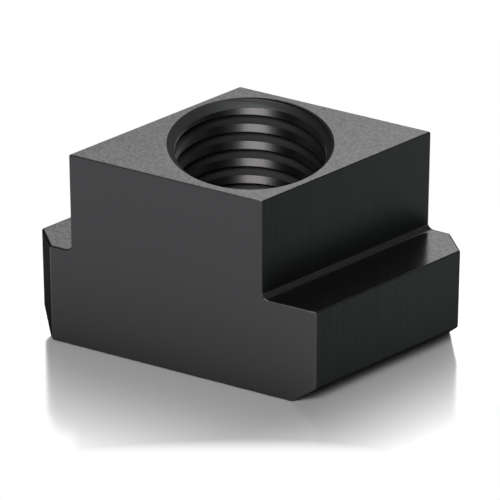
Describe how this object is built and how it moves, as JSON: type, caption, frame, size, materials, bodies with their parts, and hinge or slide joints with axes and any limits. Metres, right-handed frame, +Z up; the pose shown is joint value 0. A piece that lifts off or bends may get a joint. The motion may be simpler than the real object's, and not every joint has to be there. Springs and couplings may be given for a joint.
{
  "type": "t slot nut",
  "caption": "Diamond-plan T-slot nut: a blackened steel block with a tapped through hole in a slanted neck, over a wider flange that catches under the slot's lips.",
  "frame": {"origin": "on the axis of the tapped hole, at the foot of the block", "axes": "+X across the slot, +Y along the slot, +Z up out of the slot along the tapped hole"},
  "size_m": [0.034, 0.0404, 0.028],
  "materials": {
    "blackened_steel": "black oxide on milled and ground steel"
  },
  "bodies": {
    "root": {"t_slot_nut": "blackened_steel"}
  },
  "joints": []
}
